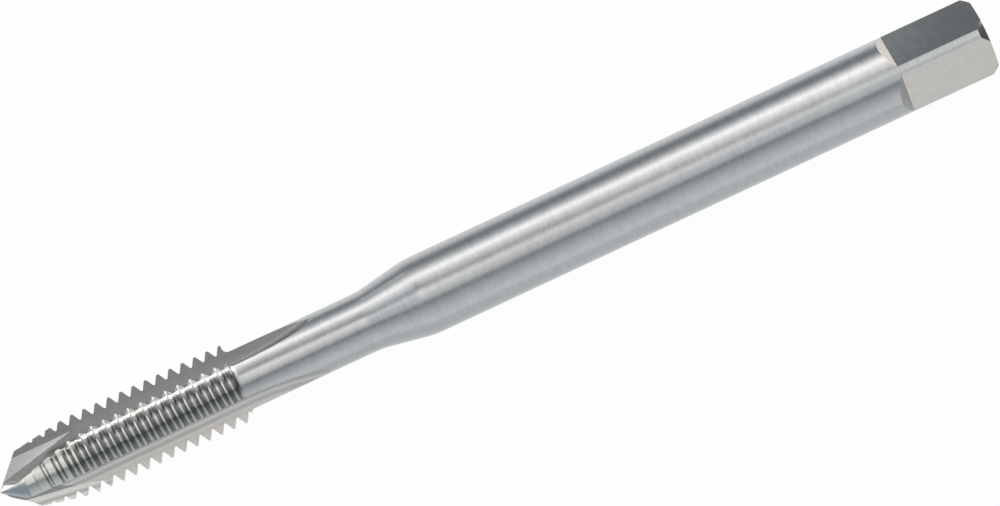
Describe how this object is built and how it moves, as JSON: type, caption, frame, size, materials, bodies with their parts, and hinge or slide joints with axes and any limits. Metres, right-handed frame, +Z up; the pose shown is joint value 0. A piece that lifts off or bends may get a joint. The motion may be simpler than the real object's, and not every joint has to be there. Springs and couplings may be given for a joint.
{
  "type": "thread tap",
  "caption": "Straight fluted machine tap with a spiral point, a reinforced shank, a slim neck and a driving square, ground from one bar of steel.",
  "frame": {"origin": "on the surface that the tool lies on, below the middle of its length", "axes": "+X along the tool's axis from the point to the driving square, +Z up, the axis is one shank radius above the origin"},
  "size_m": [0.08, 0.006, 0.006],
  "materials": {
    "tool_steel": "bright ground high speed steel"
  },
  "bodies": {
    "root": {"tap_body": "tool_steel"}
  },
  "joints": []
}
